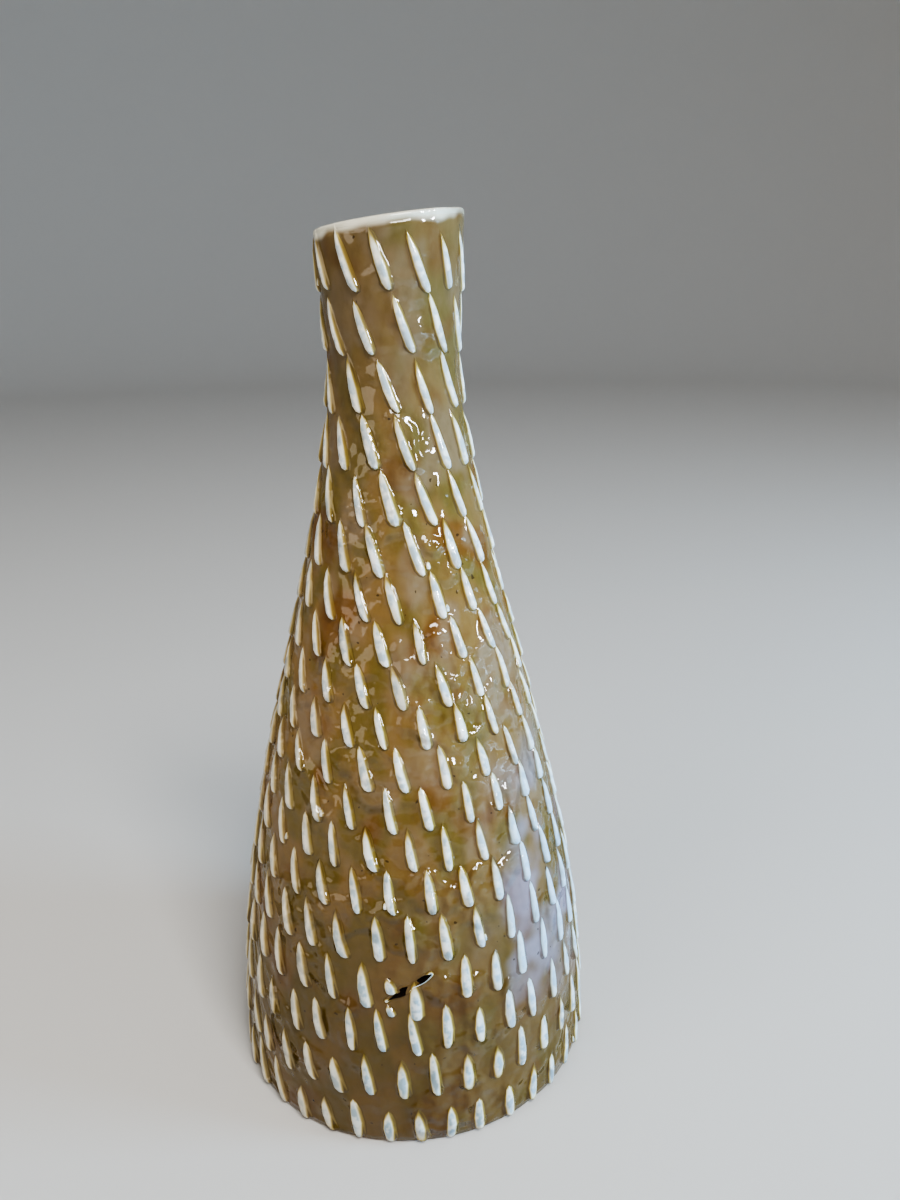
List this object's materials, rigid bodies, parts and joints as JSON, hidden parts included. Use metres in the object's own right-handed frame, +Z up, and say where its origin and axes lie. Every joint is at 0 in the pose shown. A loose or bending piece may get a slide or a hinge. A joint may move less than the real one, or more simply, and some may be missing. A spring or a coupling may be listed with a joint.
{
  "type": "ceramic bud vase",
  "caption": "Slim-necked stoneware bud vase with a slanted mouth, an amber glaze and leaning raised slip strokes in staggered rows.",
  "frame": {"origin": "centre of the base, on the surface the vase stands on", "axes": "+Z up along the vase's centre line; the mouth slants up towards +X; the torn place in the wall faces -Y, the front"},
  "size_m": [0.0802, 0.0804, 0.1818],
  "materials": {
    "stoneware": "bare fired clay, matt and slightly gritty",
    "amber_glaze": "glossy, translucent, mottled from honey to brown",
    "clear_glaze": "glossy, thin",
    "pale_glaze": "glossy, thinned over the edge",
    "slip": "glossy cream slip under thin glaze"
  },
  "bodies": {
    "root": {"clay_body": "stoneware", "glaze_coat": "amber_glaze", "inner_glaze": "clear_glaze", "lip_glaze": "pale_glaze", "slip_row_01": "slip", "slip_row_02": "slip", "slip_row_03": "slip", "slip_row_04": "slip", "slip_row_05": "slip", "slip_row_06": "slip", "slip_row_07": "slip", "slip_row_08": "slip", "slip_row_09": "slip", "slip_row_10": "slip", "slip_row_11": "slip", "slip_row_12": "slip", "slip_row_13": "slip", "slip_row_14": "slip", "slip_row_15": "slip", "slip_row_16": "slip", "slip_row_17": "slip", "slip_row_18": "slip", "slip_row_19": "slip"}
  },
  "joints": []
}
